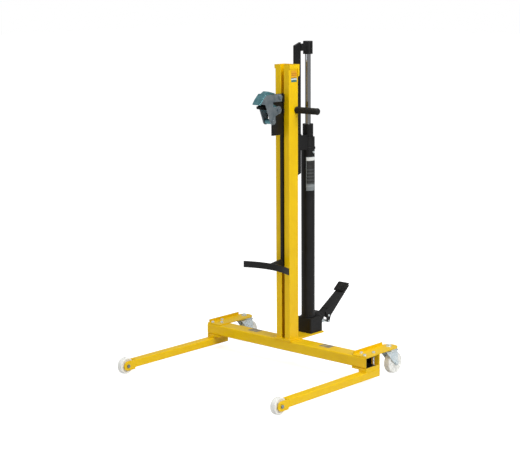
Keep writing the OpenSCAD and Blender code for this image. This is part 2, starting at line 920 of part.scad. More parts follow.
// Roller between the cheeks that rests on the drum's wall
module bumper_roller() {
    half = cheek_x - side_gap;
    color(zinc) place() translate([0, pivot_y + lower_bolt[0], pivot_z + lower_bolt[1]])
        rotate([0, 90, 0]) rotate_extrude() polygon([
            [head_bolt_d / 2 + run_gap, -half], [bumper_r - 2, -half], [bumper_r, -half + 2],
            [bumper_r, half - 2], [bumper_r - 2, half], [head_bolt_d / 2 + run_gap, half]
        ]);
}

// Lower jaw: a toothed nose on a block that straddles the carriage plate's nose
module clamp_jaw() {
    side_x = plate_t / 2 + side_gap;
    color(black) place() translate([0, pivot_y, pivot_z]) difference() {
        union() {
            side_plate(-jaw_half, jaw_half)
                polygon([[-84, 6], [-30, -12], [-30, 28], [-84, 30]]);
            side_plate(-jaw_nose_half, jaw_nose_half) polygon([
                [-112, 23], [-110, 11], [-76, 4], [-76, 29.5], [-84, 30], [-90, 24],
                [-97, 21], [-103, 25], [-107, 21]
            ]);
            for (x0 = [-jaw_half, side_x]) side_plate(x0, x0 + jaw_half - side_x) {
                polygon([[-31, -12], [0, -13], [0, 13], [-31, 28]]);
                circle(13);
            }
        }
        x_bar(head_bolt_d / 2 + run_gap, -head_width, head_width);
        x_bar(10.5, cheek_x - side_gap - 4.5, head_width);
    }
}

// Torsion spring in the jaw's counterbore, drawn as closed coils
module jaw_spring() {
    color(zinc) place() translate([0, pivot_y, pivot_z])
        for (i = [0, 1]) translate([cheek_x - side_gap - 3.2 + i * 2.1, 0, 0])
            rotate([0, 90, 0]) rotate_extrude() translate([8.4, 0]) circle(0.9, $fn = 16);
}

// ---- drum rest ----

// Flat bar rolled to the drum's radius
module drum_rest() {
    strip_y = plate_front_y - rest_arm_l - rest_t;
    axis_y = strip_y - drum_r;
    half = asin(rest_width / 2 / drum_r);
    color(black) place() translate([0, axis_y, plate_base]) rotate([0, 0, 90 - half])
        rotate_extrude(angle = 2 * half, $fn = 180)
            translate([drum_r, 0]) square([rest_t, rest_height]);
}

module rest_arm() {
    color(black) place() side_plate(-plate_t / 2, plate_t / 2) polygon([
        [plate_front_y - rest_arm_l, plate_base + 2], [plate_front_y, plate_base],
        [plate_front_y, plate_base + rest_height + 10],
        [plate_front_y - rest_arm_l, plate_base + rest_height]
    ]);
}

// ---- foot pump ----

// Casting with the oil tank, a raised boss behind the ram and the pedal's two lugs
module pump_block() {
    lug_root = block_top + boss_h;
    color(black) place() difference() {
        union() {
            translate([0, (block_front_y + block_rear_y) / 2, mast_base])
                linear_extrude(block_height) round_rect(block_width, block_length, 5);
            translate([-boss_half, ram_y, block_top - 10])
                cube([2 * boss_half, boss_rear_y - ram_y, boss_h + 10]);
            for (x0 = [-lug_x - lug_t, lug_x]) side_plate(x0, x0 + lug_t) {
                translate([pedal_y, pedal_z]) circle(lug_r);
                polygon([[boss_rear_y - 1, block_top], [pedal_y - 4, pedal_z - lug_r + 0.6],
                         [pedal_y, pedal_z + lug_r], [boss_rear_y - 1, lug_root]]);
            }
        }
        translate([0, ram_y, block_top]) cylinder(r = ram_d / 2 + 1, h = boss_h + 1);
        translate([0, block_rear_y - plunger_in - plunger_stroke - 2, plunger_z])
            rotate([-90, 0, 0]) cylinder(r = plunger_d / 2 + run_gap, h = 100);
        translate([0, pedal_y, pedal_z]) x_bar(pin_d / 2 + run_gap, -60, 60);
        translate([0, ram_y, mast_base + 30]) x_bar(6 + run_gap, -60, -block_width / 2 + 22);
    }
}

// Knob that lets the oil back into the tank
module release_valve() {
    color(black) place() translate([-block_width / 2, ram_y, mast_base + 30]) {
        x_bar(6, -14, 20);
        difference() {
            x_bar(14, -26, -8);
            for (a = [0 : 45 : 315]) rotate([a, 0, 0]) translate([0, 16.5, 0]) x_bar(4, -30, 0);
        }
    }
}

module pump_plunger() {
    color(zinc) place() translate([0, block_rear_y - plunger_in, plunger_z]) rotate([-90, 0, 0])
        cylinder(r = plunger_d / 2, h = plunger_end_y - block_rear_y + plunger_in);
}

// Side view of a lever flank, drawn from the pivot: the arm that climbs to the tread and
// a claw below the pivot that holds the push roller
module lever_outline() {
    polygon([[-21, 21], [98, 95], seat_front, seat_rear, [lever_tail, 121], [17, -4],
             [6, -37], [-11, -30], [-16, 4]]);
    circle(14);
}

module pedal_lever() {
    half = lever_width / 2;
    color(black) place() translate([0, pedal_y, pedal_z]) difference() {
        union() {
            for (x0 = [-half, half - lever_t]) side_plate(x0, x0 + lever_t) lever_outline();
            side_plate(-half, half) polygon([
                [0, 34], [98, 95], seat_front, seat_rear, seat_rear + [lever_t, -lever_t],
                seat_front + [lever_t, -lever_t], [100.4, 91.5], [2.4, 30.4]
            ]);
        }
        x_bar(pin_d / 2 + bolt_gap, -60, 60);
        translate([0, push_pin[0], push_pin[1]]) x_bar(push_roller_r - 2, -60, 60);
    }
}

// Ribbed tread
module pedal_pad() {
    color(black) place() translate([0, pedal_y + pad_middle[0], pedal_z + pad_middle[1]])
        rotate([pad_tilt, 0, 0]) difference() {
            translate([-pad_width / 2, -pad_length / 2, -pad_t / 2])
                cube([pad_width, pad_length, pad_t]);
            for (i = [-2 : 2]) translate([-pad_width, i * 10 - 1.5, pad_t / 2 - 2])
                cube([2 * pad_width, 3, 4]);
        }
}

// Pivot pin and the push pin with its roller sleeve
module lever_pins() {
    half = lever_width / 2;
    color(zinc) place() translate([0, pedal_y, pedal_z]) {
        x_bar(pin_d / 2, -half - 3, half + 3);
        translate([0, push_pin[0], push_pin[1]]) {
            x_bar(push_roller_r - 2, -half - 2, half + 2);
            x_bar(push_roller_r, -half + lever_t + 1, half - lever_t - 1);
        }
    }
}

// Torsion spring that lifts the pedal, drawn as closed coils
module pedal_spring() {
    color(zinc) place() translate([0, pedal_y, pedal_z])
        for (i = [-2 : 2]) translate([i * 2.6, 0, 0])
            rotate([0, 90, 0]) rotate_extrude() translate([7.2, 0]) circle(1.2, $fn = 16);
}

crossbeam();
leg_left();
leg_right();
roller_fork_left();
roller_fork_right();
roller_axles();
front_roller_left();
front_roller_right();
leg_packers();
clamp_plates();
bracket_uprights();
castor_bracket_left();
castor_bracket_right();
bracket_bolts();
castor_head_left();
castor_head_right();
castor_fork_left();
castor_fork_right();
castor_axle_left();
castor_axle_right();
castor_wheel_left();
castor_wheel_right();
foot_plate();
mast_channel_left();
mast_channel_right();
mast_collar();
handle_stubs();
handle_grip_left();
handle_grip_right();
pump_block();
ram_tube();
ram_gland();
ram_bracket();
bleed_plug();
release_valve();
ram_piston();
ram_rod();
rod_head();
carriage_plate();
lifting_bar();
guide_axles();
guide_roller_upper_left();
guide_roller_upper_right();
guide_roller_lower_left();
guide_roller_lower_right();
slide_pads();
clamp_cheek_left();
clamp_cheek_right();
clamp_hood();
clamp_bolts();
bumper_roller();
clamp_jaw();
jaw_spring();
drum_rest();
rest_arm();
pedal_lever();
pedal_pad();
lever_pins();
pedal_spring();
pump_plunger();
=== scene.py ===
# %% [markdown]
# # A hydraulic drum lifter, finished in Blender
# The lifter is a straddling chassis on rollers and castors, a slotted mast, a carriage with a beak
# clamp, and a foot-pumped ram. Its engineering model already has every tube, plate and shaft at
# its true size, so this lesson does two things to it. It gives each finish a procedural
# material, and it replaces the pieces whose shape is too plain with surfaces worked out by numpy.

# %% Load the frame
import json
import math

import bmesh
import bpy
import numpy as np
from mathutils import Matrix, Vector


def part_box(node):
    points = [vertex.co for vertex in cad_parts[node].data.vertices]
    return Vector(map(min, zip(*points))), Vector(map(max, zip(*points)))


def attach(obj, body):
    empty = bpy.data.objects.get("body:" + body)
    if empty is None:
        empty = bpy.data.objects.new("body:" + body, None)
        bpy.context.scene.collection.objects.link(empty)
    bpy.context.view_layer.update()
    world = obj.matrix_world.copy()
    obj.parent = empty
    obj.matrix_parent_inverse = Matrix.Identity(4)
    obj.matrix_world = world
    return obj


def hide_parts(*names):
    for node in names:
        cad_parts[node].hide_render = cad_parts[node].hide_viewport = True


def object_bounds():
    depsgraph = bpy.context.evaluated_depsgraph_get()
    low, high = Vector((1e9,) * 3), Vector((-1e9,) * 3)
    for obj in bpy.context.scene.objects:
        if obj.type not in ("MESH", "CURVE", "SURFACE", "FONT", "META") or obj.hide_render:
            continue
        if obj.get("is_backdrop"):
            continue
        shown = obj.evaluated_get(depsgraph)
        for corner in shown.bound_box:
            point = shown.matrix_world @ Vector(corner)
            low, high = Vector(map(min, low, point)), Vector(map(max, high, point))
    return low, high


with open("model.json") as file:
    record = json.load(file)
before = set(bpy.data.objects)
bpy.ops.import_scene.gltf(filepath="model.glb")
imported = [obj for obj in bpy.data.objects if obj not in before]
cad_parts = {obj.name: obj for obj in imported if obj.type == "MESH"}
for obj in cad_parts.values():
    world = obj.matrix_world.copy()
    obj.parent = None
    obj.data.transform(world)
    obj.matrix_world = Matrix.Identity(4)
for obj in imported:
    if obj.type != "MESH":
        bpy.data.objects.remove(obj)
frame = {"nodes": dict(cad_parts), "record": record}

cad_low, cad_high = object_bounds()

# %% [markdown]
# ## Measuring the frame
# New pieces take their places from the engineering model. A box is enough for a tube or a plate.
# A node such as the bracket bolts holds several separate solids, so a second helper merges the
# loose triangles of a copy and walks from face to face to find each solid's own box.

# %% Boxes and solids
MM = 0.001


def box(node):
    """Low corner, high corner and centre of a node as numpy rows, in metres."""
    low, high = (np.array(corner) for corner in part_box(node))
    return low, high, (low + high) / 2


def solids(node):
    """The box of each separate solid in a node, found by flooding over shared edges."""
    mesh = bmesh.new()
    mesh.from_mesh(frame["nodes"][node].data)
    bmesh.ops.remove_doubles(mesh, verts=mesh.verts, dist=1e-6)
    unseen = set(mesh.verts)
    boxes = []
    while unseen:
        edge = [unseen.pop()]
        group = list(edge)
        while edge:
            near = {e.other_vert(v) for v in edge for e in v.link_edges} & unseen
            unseen -= near
            edge = list(near)
            group += edge
        points = np.array([v.co for v in group])
        boxes.append((points.min(0), points.max(0)))
    mesh.free()
    return boxes


print("bracket bolts", len(solids("bracket_bolts")))

# %% [markdown]
# ## Surfaces from arrays
# Every new shape is a grid of points P(u, v). The helper below joins neighbouring points into
# quads, closes the grid where it wraps round, welds seams and poles, and turns the faces
# outwards. Several grids can share one object, which is how a bolt gets its head, washer and nut.


# %% Turn grids into a piece
def grid_faces(points, wrap, start):
    """Quads between neighbouring rows and columns; a wrapped direction joins its ends."""
    index = np.arange(points.shape[0] * points.shape[1]).reshape(points.shape[:2]) + start
    if wrap[0]:
        index = np.vstack([index, index[:1]])
    if wrap[1]:
        index = np.hstack([index, index[:, :1]])
    corners = [index[:-1, :-1], index[1:, :-1], index[1:, 1:], index[:-1, 1:]]
    return np.stack(corners, -1).reshape(-1, 4)


def make_piece(name, grids, body, finish, stands_for=(), crease=35.0):
    """One object from a list of (points, wrap) grids, riding on a body of the frame."""
    count = 0
    vertices = []
    faces = []
    for points, wrap in grids:
        faces.append(grid_faces(points, wrap, count))
        vertices.append(points.reshape(-1, 3))
        count += points.shape[0] * points.shape[1]
    mesh = bpy.data.meshes.new(name)
    mesh.from_pydata(np.vstack(vertices).tolist(), [], np.vstack(faces).tolist())
    work = bmesh.new()
    work.from_mesh(mesh)
    bmesh.ops.remove_doubles(work, verts=work.verts, dist=2e-6)
    bmesh.ops.dissolve_degenerate(work, edges=work.edges, dist=1e-6)
    bmesh.ops.recalc_face_normals(work, faces=work.faces)
    work.to_mesh(mesh)
    work.free()
    mesh.shade_smooth()
    mesh.set_sharp_from_angle(angle=math.radians(crease))
    mesh.materials.append(finish)
    piece = bpy.data.objects.new(name, mesh)
    bpy.context.scene.collection.objects.link(piece)
    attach(piece, body)
    if stands_for:
        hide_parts(*stands_for)
    return piece


# %% [markdown]
# Three rules make most of the shapes. A lathe turns a profile about an axis, a hexagon head
# is a lathe whose radius depends on the angle, and a sweep carries a circle along a path.


# %% Lathe, hexagon and sweep
AXES = {"X": (0, 1, 2), "Y": (1, 2, 0), "Z": (2, 0, 1)}
HEX_FACE = 0.97


def turned(radius, along, centre, axis):
    """P = centre + along the axis + radius * (cos t, sin t) across it, for arrays over (row, t)."""
    turn = np.linspace(0, 2 * np.pi, radius.shape[1], endpoint=False)[None, :]
    points = np.empty(radius.shape + (3,))
    main, first, second = AXES[axis]
    points[..., main] = along
    points[..., first] = radius * np.cos(turn)
    points[..., second] = radius * np.sin(turn)
    return points + np.asarray(centre), (False, True)


def lathe(profile, centre, axis="X", sides=72):
    """A profile of (radius, along) pairs in millimetres, turned about an axis."""
    profile = np.asarray(profile, float) * MM
    radius = np.repeat(profile[:, :1], sides, 1)
    along = np.repeat(profile[:, 1:], sides, 1)
    return turned(radius, along, centre, axis)


def hexagon(flat, low, high, centre, axis="X", bore=0.0, sides=72):
    """A nut or bolt head between two heights: its outline is flat / cos(angle from the middle
    of a side), and both ends are cut by a 30 degree cone that starts at the flats."""
    turn = np.linspace(0, 2 * np.pi, sides, endpoint=False)
    outline = flat / np.cos((turn + np.pi / 6) % (np.pi / 3) - np.pi / 6)
    drop = (outline - HEX_FACE * flat) * math.tan(math.radians(30))
    inner = np.full(sides, bore)
    face = np.full(sides, HEX_FACE * flat)
    radius = np.array([inner, face, outline, outline, face, inner]) * MM
    flat_low = np.full(sides, low)
    flat_high = np.full(sides, high)
    along = np.array([flat_low, flat_low, low + drop, high - drop, flat_high, flat_high]) * MM
    return turned(radius, along, centre, axis)


def sweep(path, radius, up, sides=12):
    """A circle carried along a path: P = path + r * (N cos t + B sin t), where the tangent is T,
    N is up x T and B is T x N."""
    tangent = np.gradient(path, axis=0)
    tangent /= np.linalg.norm(tangent, axis=1, keepdims=True)
    normal = np.cross(up, tangent)
    normal /= np.linalg.norm(normal, axis=1, keepdims=True)
    binormal = np.cross(tangent, normal)
    turn = np.linspace(0, 2 * np.pi, sides, endpoint=False)
    ring = normal[:, None] * np.cos(turn)[:, None] + binormal[:, None] * np.sin(turn)[:, None]
    return path[:, None] + np.asarray(radius)[:, None, None] * ring, (False, True)


print("a hexagon head has", hexagon(8, 0, 6, (0, 0, 0))[0].shape[:2], "points")

# %% [markdown]
# ## Shared effects
# Real paint is never flat: sprayed powder has a fine orange peel, corners are rubbed through
# first, and dust settles on faces that look up. Each effect is a node group, built once and
# placed in each material with its own values. A small helper keeps the wiring short.


# %% A helper for node groups
def new_group(name, inputs, outputs):
    """An empty shader group with named float inputs and typed outputs."""
    group = bpy.data.node_groups.new(name, "ShaderNodeTree")
    for label, value in inputs.items():
        socket = group.interface.new_socket(label, in_out="INPUT", socket_type="NodeSocketFloat")
        socket.default_value = value
    for label, kind in outputs.items():
        group.interface.new_socket(label, in_out="OUTPUT", socket_type=kind)
    return group, group.nodes.new("NodeGroupInput"), group.nodes.new("NodeGroupOutput")


def add(tree, kind, **settings):
    """A node with its attributes set; settings with a value for a socket use its name."""
    node = tree.nodes.new(kind)
    for label, value in settings.items():
        if label in node.inputs:
            node.inputs[label].default_value = value
        else:
            setattr(node, label, value)
    return node


def math_node(tree, operation, first, second):
    """One Math node; each operand is a number or a socket."""
    node = add(tree, "ShaderNodeMath", operation=operation)
    for slot_number, operand in enumerate((first, second)):
        if isinstance(operand, (int, float)):
            node.inputs[slot_number].default_value = operand
        else:
            tree.links.new(operand, node.inputs[slot_number])
    return node.outputs[0]


def ramp(tree, value, low, high):
    """Maps low..high to 0..1 and clamps."""
    node = add(tree, "ShaderNodeMapRange", clamp=True)
    tree.links.new(value, node.inputs["Value"])
    node.inputs["From Min"].default_value = low
    node.inputs["From Max"].default_value = high
    return node.outputs["Result"]


# %% [markdown]
# Noise at one size looks like noise. The grain group adds three sizes of it, all in object
# space, so the pattern stays put on the metal and runs over corners without a seam.


# %% Grain group
def noise(tree, coords, scale, detail=3.0, rough=0.55):
    node = add(tree, "ShaderNodeTexNoise")
    node.inputs["Detail"].default_value = detail
    node.inputs["Roughness"].default_value = rough
    if isinstance(scale, (int, float)):
        node.inputs["Scale"].default_value = scale
    else:
        tree.links.new(scale, node.inputs["Scale"])
    tree.links.new(coords, node.inputs["Vector"])
    return node.outputs["Fac"]


def build_grain():
    """Fine, middle and broad noise, as one height and one slow colour mask."""
    group, inside, outside = new_group(
        "surface grain", {"Fine Scale": 900.0, "Broad Scale": 14.0},
        {"Height": "NodeSocketFloat", "Patches": "NodeSocketFloat"})
    coords = add(group, "ShaderNodeTexCoord").outputs["Object"]
    fine = noise(group, coords, inside.outputs["Fine Scale"], 2.0)
    middle = noise(group, coords, 160.0, 3.0)
    broad = noise(group, coords, inside.outputs["Broad Scale"], 4.0)
    height = math_node(group, "ADD", math_node(group, "MULTIPLY", fine, 0.65),
                       math_node(group, "MULTIPLY", middle, 0.35))
    group.links.new(height, outside.inputs["Height"])
    group.links.new(ramp(group, broad, 0.3, 0.7), outside.inputs["Patches"])
    return group


GRAIN = build_grain()

# %% [markdown]
# A Bevel node looks at the surface within a small radius and returns a softened normal. Where
# it differs from the true normal there is a corner, so the difference is the mask for wear. The
# softened normal itself rounds the highlights of corners that are sharp in the mesh.


# %% Corner group
def build_corners():
    """Edge mask = 1 - softened normal . true normal, broken up by noise."""
    group, inside, outside = new_group(
        "worn corners", {"Radius": 0.0012, "Amount": 0.5},
        {"Wear": "NodeSocketFloat", "Normal": "NodeSocketVector"})
    coords = add(group, "ShaderNodeTexCoord").outputs["Object"]
    soft = add(group, "ShaderNodeBevel", samples=6)
    group.links.new(inside.outputs["Radius"], soft.inputs["Radius"])
    true_normal = add(group, "ShaderNodeNewGeometry").outputs["Normal"]
    dot = add(group, "ShaderNodeVectorMath", operation="DOT_PRODUCT")
    group.links.new(soft.outputs["Normal"], dot.inputs[0])
    group.links.new(true_normal, dot.inputs[1])
    edge = math_node(group, "SUBTRACT", 1.0, dot.outputs["Value"])
    chips = ramp(group, noise(group, coords, 230.0, 5.0, 0.7), 0.52, 0.66)
    wear = math_node(group, "MULTIPLY", ramp(group, edge, 0.04, 0.22), chips)
    group.links.new(math_node(group, "MULTIPLY", wear, inside.outputs["Amount"]),
                    outside.inputs["Wear"])
    group.links.new(soft.outputs["Normal"], outside.inputs["Normal"])
    return group


CORNERS = build_corners()


# %% Dust group
def build_dust():
    """Faces that look up gather dust in patches: mask = z of the normal * noise."""
    group, inside, outside = new_group(
        "settled dust", {"Amount": 0.3}, {"Dust": "NodeSocketFloat"})
    coords = add(group, "ShaderNodeTexCoord").outputs["Object"]
    geometry = add(group, "ShaderNodeNewGeometry")
    parts = add(group, "ShaderNodeSeparateXYZ")
    group.links.new(geometry.outputs["Normal"], parts.inputs[0])
    up = ramp(group, parts.outputs["Z"], 0.2, 1.0)
    patches = ramp(group, noise(group, coords, 30.0, 6.0, 0.65), 0.35, 0.75)
    dust = math_node(group, "MULTIPLY", up, patches)
    group.links.new(math_node(group, "MULTIPLY", dust, inside.outputs["Amount"]),
                    outside.inputs["Dust"])
    return group


DUST = build_dust()
print("groups", [g.name for g in bpy.data.node_groups])

# %% [markdown]
# ## Finishes
# One builder wires the three groups to a Principled shader: the base colour drifts between two
# tones, wear mixes in what lies under the coat, and dust lies on top. The numbers that are the
# same all over a surface are set on the shader itself.


# %% A builder for finishes
def colour(hex_text):
    """A display colour such as F2C31A as linear light."""
    channels = np.array([int(hex_text[i:i + 2], 16) for i in (0, 2, 4)]) / 255
    linear = np.where(channels <= 0.04045, channels / 12.92, ((channels + 0.055) / 1.055) ** 2.4)
    return (*linear, 1.0)


def mix(tree, mask, first, second):
    """Colour mix; each colour is a value or a socket."""
    node = add(tree, "ShaderNodeMix", data_type="RGBA")
    tree.links.new(mask, node.inputs["Factor"])
    for label, value in (("A", first), ("B", second)):
        socket = [s for s in node.inputs if s.name == label and s.type == "RGBA"][0]
        if isinstance(value, tuple):
            socket.default_value = value
        else:
            tree.links.new(value, socket)
    return [s for s in node.outputs if s.type == "RGBA"][0]


def finish(name, tone, shade, under, rough=(0.3, 0.4), metal=0.0, bare=0.0, coat=0.0,
           grain=(900.0, 0.03), broad=14.0, wear=0.5, dust=0.25, corner=0.0012, specular=0.5):
    """A material of one coat: two tones, what shows through it when worn, and its gloss range.
    metal is how metallic the coat is, and bare how metallic the worn places are."""
    material = bpy.data.materials.new(name)
    material.use_nodes = True
    tree = material.node_tree
    shader = tree.nodes["Principled BSDF"]
    shader.inputs["Coat Weight"].default_value = coat
    shader.inputs["Coat Roughness"].default_value = 0.12
    shader.inputs["Specular IOR Level"].default_value = specular
    skin = add(tree, "ShaderNodeGroup", node_tree=GRAIN)
    skin.inputs["Fine Scale"].default_value = grain[0]
    skin.inputs["Broad Scale"].default_value = broad
    corners = add(tree, "ShaderNodeGroup", node_tree=CORNERS)
    corners.inputs["Radius"].default_value = corner
    corners.inputs["Amount"].default_value = wear
    settled = add(tree, "ShaderNodeGroup", node_tree=DUST)
    settled.inputs["Amount"].default_value = dust
    base = mix(tree, skin.outputs["Patches"], colour(tone), colour(shade))
    worn = mix(tree, corners.outputs["Wear"], base, colour(under))
    dusty = mix(tree, settled.outputs["Dust"], worn, colour("C9C3B4"))
    tree.links.new(dusty, shader.inputs["Base Color"])
    gloss = add(tree, "ShaderNodeMapRange")
    tree.links.new(skin.outputs["Patches"], gloss.inputs["Value"])
    gloss.inputs["To Min"].default_value = rough[0]
    gloss.inputs["To Max"].default_value = rough[1]
    dull = math_node(tree, "ADD", gloss.outputs["Result"],
                     math_node(tree, "MULTIPLY", settled.outputs["Dust"], 0.5))
    tree.links.new(dull, shader.inputs["Roughness"])
    shader.inputs["Metallic"].default_value = metal
    if bare:
        tree.links.new(math_node(tree, "MULTIPLY", corners.outputs["Wear"], bare),
                       shader.inputs["Metallic"])
    bump = add(tree, "ShaderNodeBump")
    bump.inputs["Strength"].default_value = grain[1]
    bump.inputs["Distance"].default_value = 0.001
    tree.links.new(skin.outputs["Height"], bump.inputs["Height"])
    tree.links.new(corners.outputs["Normal"], bump.inputs["Normal"])
    tree.links.new(bump.outputs["Normal"], shader.inputs["Normal"])
    return material


# %% [markdown]
# The chassis and mast are powder coated in signal yellow: bright, slightly translucent, with a
# soft gloss and orange peel. The carriage and the pump are black enamel, the rod is hard
# chrome, and the small steel parts are zinc plated with a cold blue passivate.

# %% The lifter's finishes
yellow_powder = finish("yellow powder coat", "F5CB00", "EFC200", "8E8A80", (0.30, 0.38), bare=0.85,
                       coat=0.05, grain=(700.0, 0.16), wear=0.35, dust=0.04, specular=0.3)
black_enamel = finish("black enamel", "151515", "1C1C1D", "6F6E6B", (0.30, 0.42), bare=0.85,
                      coat=0.04, grain=(800.0, 0.2), wear=0.5, dust=0.02, specular=0.25)
black_casting = finish("black painted casting", "141414", "1B1B1C", "6F6E6B", (0.42, 0.55), bare=0.8,
                       grain=(420.0, 0.7), wear=0.4, dust=0.06, corner=0.002, specular=0.3)
hard_chrome = finish("hard chrome", "D9DBDE", "CDD0D4", "E2E4E5", (0.08, 0.13), metal=1.0,
                     grain=(1500.0, 0.02), wear=0.2, dust=0.0, corner=0.0005)
zinc_plate = finish("blue passivated zinc", "EEF5F7", "CAD9DF", "F6F9F9", (0.2, 0.36), metal=0.4,
                    grain=(600.0, 0.25), broad=60.0, wear=0.6, dust=0.03, corner=0.0008)
cheek_zinc = finish("zinc plated cheek", "9AA4A9", "6F7B82", "E4EAEA", (0.28, 0.46), metal=0.7,
                    grain=(380.0, 0.5), broad=38.0, wear=0.9, dust=0.04, corner=0.0016)
hood_zinc = finish("teal passivated hood", "7FB4BD", "4A8089", "E8F4F4", (0.16, 0.3), metal=0.75,
                   grain=(300.0, 0.35), broad=30.0, wear=1.0, dust=0.03, corner=0.0022)
white_nylon = finish("white nylon", "F8F8F4", "F0F0EA", "D8D6CE", (0.38, 0.5),
                     coat=0.1, grain=(500.0, 0.12), broad=30.0, wear=0.5, dust=0.06, corner=0.0015)
black_rubber = finish("black rubber", "161616", "1E1E1D", "2C2B2A", (0.6, 0.75),
                      grain=(1100.0, 0.5), wear=0.4, dust=0.08, specular=0.25)

FINISHES = {
    "yellow_paint": yellow_powder, "black_paint": black_enamel, "chrome_rod": hard_chrome,
    "zinc": zinc_plate, "clamp_steel": cheek_zinc, "white_nylon": white_nylon,
    "rubber": black_rubber,
}
SPECIAL = {
    "pump_block": black_casting, "release_valve": black_casting, "clamp_hood": hood_zinc,
    "clamp_bolts": cheek_zinc, "bumper_roller": hood_zinc,
}
for part in frame["record"]["subparts"]:
    node = frame["nodes"][part["node"]]
    node.data.materials.clear()
    node.data.materials.append(SPECIAL.get(part["node"], FINISHES[part["material_slot"]]))
print("finishes", len(FINISHES) + len(SPECIAL))

# %% [markdown]
# Two parts carry two tones. Within the crossbeam's walls the colour is painted shade, a near
# black that stands in for the shadow inside the open tube. The jaw is plated like the hood, and
# its nose, the front 34 mm, has a dark tone. Both are a second colour behind a mask made from
# object coordinates.


# %% Second tones
def second_tone(source, name, tone, axis_limits):
    """A copy of a finish whose colour turns to a second tone inside a box of the object's space:
    mask = product over axes of (low < coordinate) * (coordinate < high)."""
    material = source.copy()
    material.name = name
    tree = material.node_tree
    parts = add(tree, "ShaderNodeSeparateXYZ")
    tree.links.new(add(tree, "ShaderNodeTexCoord").outputs["Object"], parts.inputs[0])
    mask = None
    for axis, (low, high) in axis_limits.items():
        inside = math_node(tree, "MULTIPLY",
                           math_node(tree, "GREATER_THAN", parts.outputs[axis], low),
                           math_node(tree, "LESS_THAN", parts.outputs[axis], high))
        mask = inside if mask is None else math_node(tree, "MULTIPLY", mask, inside)
    colour_input = tree.nodes["Principled BSDF"].inputs["Base Color"]
    tree.links.new(mix(tree, mask, colour_input.links[0].from_socket, colour(tone)), colour_input)
    return material


tube_low, tube_high, _ = box("crossbeam")
HALF_WALL = 2 * MM
jaw_low, _, _ = box("clamp_jaw")
NOSE = 34 * MM
TWO_TONED = (
    # Painted shade: within the crossbeam's walls the yellow turns near black, standing in for the
    # shadow inside the open tube.
    ("crossbeam", second_tone(yellow_powder, "tube with painted shade inside", "1D1A14", {
        "Y": (tube_low[1] + HALF_WALL, tube_high[1] - HALF_WALL),
        "Z": (tube_low[2] + HALF_WALL, tube_high[2] - HALF_WALL)})),
    # The jaw's front 34 mm, its nose, turns a dark tone.
    ("clamp_jaw", second_tone(hood_zinc, "plated jaw with dark nose", "1A1C1C", {
        "Y": (jaw_low[1] - HALF_WALL, jaw_low[1] + NOSE)})))
for node, material in TWO_TONED:
    frame["nodes"][node].data.materials[0] = material
print("two toned parts", len(TWO_TONED))

# %% [markdown]
# ## Wheels
# A nylon wheel is injection moulded: a crowned tread, a thin web between tread and hub, radial
# ribs across the web on both sides, and a hub that stands proud. Tread, web and hub are one
# lathe, and the ribs are a height that depends on the angle, added to the web's rows.


# %% Moulded wheels
RIBS = 8
RIB_POWER = 14
WEB_SHARE = 0.72
RIB_SHARE = 0.16


def wheel_grids(centre, diameter, width, hub, bore):
    """Closed section of the wheel turned about X, with the web's face pulled out by
    rib(t) = (1 + cos(RIBS t)) / 2 raised to RIB_POWER."""
    sides = 160
    rim = diameter / 2
    half = width / 2
    web = half * WEB_SHARE
    turn = np.linspace(0, 2 * np.pi, sides, endpoint=False)
    rib = ((1 + np.cos(RIBS * turn)) / 2) ** RIB_POWER * (half * RIB_SHARE)
    arc = np.linspace(0, np.pi / 2, 6)
    corner = [(rim - 3 + 3 * math.sin(a), half - 4 + 3 * math.cos(a)) for a in arc]
    right = [(bore, half), (hub - 1.5, half), (hub, half - 1.5), (hub + 1.5, web + 1),
             (hub + 3, web), (rim - 11, web), (rim - 9, web + 1.5), (rim - 8, half - 1.5),
             (rim - 6.5, half - 1)] + corner + [(rim, 0)]
    left = [(r, -a) for r, a in right[::-1][1:]]
    profile = np.array(right + left + [right[0]])
    radius = np.repeat(profile[:, :1], sides, 1)
    along = np.repeat(profile[:, 1:], sides, 1)
    on_web = (profile[:, 0] > hub + 1) & (profile[:, 0] < rim - 8.5)
    along += np.where(on_web[:, None], np.sign(profile[:, 1:]) * rib[None, :], 0)
    return turned(radius * MM, along * MM, centre, "X")


for side in ("left", "right"):
    for node, hub, bore in ((f"front_roller_{side}", 12, 5.05),
                            (f"castor_wheel_{side}", 17, 6.05)):
        low, high, centre = box(node)
        size = (high - low) / MM
        make_piece(f"moulded_{node}", [wheel_grids(centre, size[2], size[0], hub, bore)],
                   node, white_nylon, [node])
        print(node, size.round(1))

# %% [markdown]
# ## Fasteners
# A bolt head is a hexagon with its corners turned off at 30 degrees, on a thin round washer.
# Each bolt is a shank, a head and washer at one end, and a nut with a little thread beyond
# it at the other. The thread is a lathe whose radius goes up and down like a saw.


# %% Bolts along any axis
def washer(outer, inner, low, high, centre, axis):
    return lathe([(inner, low), (outer - 0.4, low), (outer, low + 0.4), (outer, high - 0.4),
                  (outer - 0.4, high), (inner, high)], centre, axis)


def thread(radius, low, high, centre, axis, pitch=1.5):
    """Shank between two heights, ending in a chamfer; r = radius - a saw of the height."""
    depth, chamfer = 0.45, 1.2
    steps = np.arange(low, high, pitch / 4)
    saw = depth * np.abs((steps - low) / pitch % 1 * 2 - 1)
    rows = [(0, low), (radius - chamfer, low)] + list(zip(radius - depth + saw, steps + 0.01))
    return lathe(rows + [(radius - chamfer, high), (0, high)], centre, axis, 36)


WASHER_REACH = 1.2
WASHER_GAP = 0.05
NUT_BITE = 0.3


def bolt_grids(low, high, axis, radius, flat, head_height, tail, washer_height):
    """A bolt that fills a box: its head at the high end and its nut at the low end, with a
    tail of thread beyond the nut and a washer under the head."""
    main = AXES[axis][0]
    centre = (low + high) / 2
    half = (high[main] - low[main]) / 2 / MM
    head_low = half - head_height
    nut_low = -half + tail
    return [
        hexagon(flat, head_low, half, centre, axis),
        washer(flat * WASHER_REACH, radius, head_low - washer_height, head_low - WASHER_GAP,
               centre, axis),
        thread(radius, -half, head_low, centre, axis),
        hexagon(flat, nut_low, nut_low + head_height, centre, axis, radius - NUT_BITE),
    ]


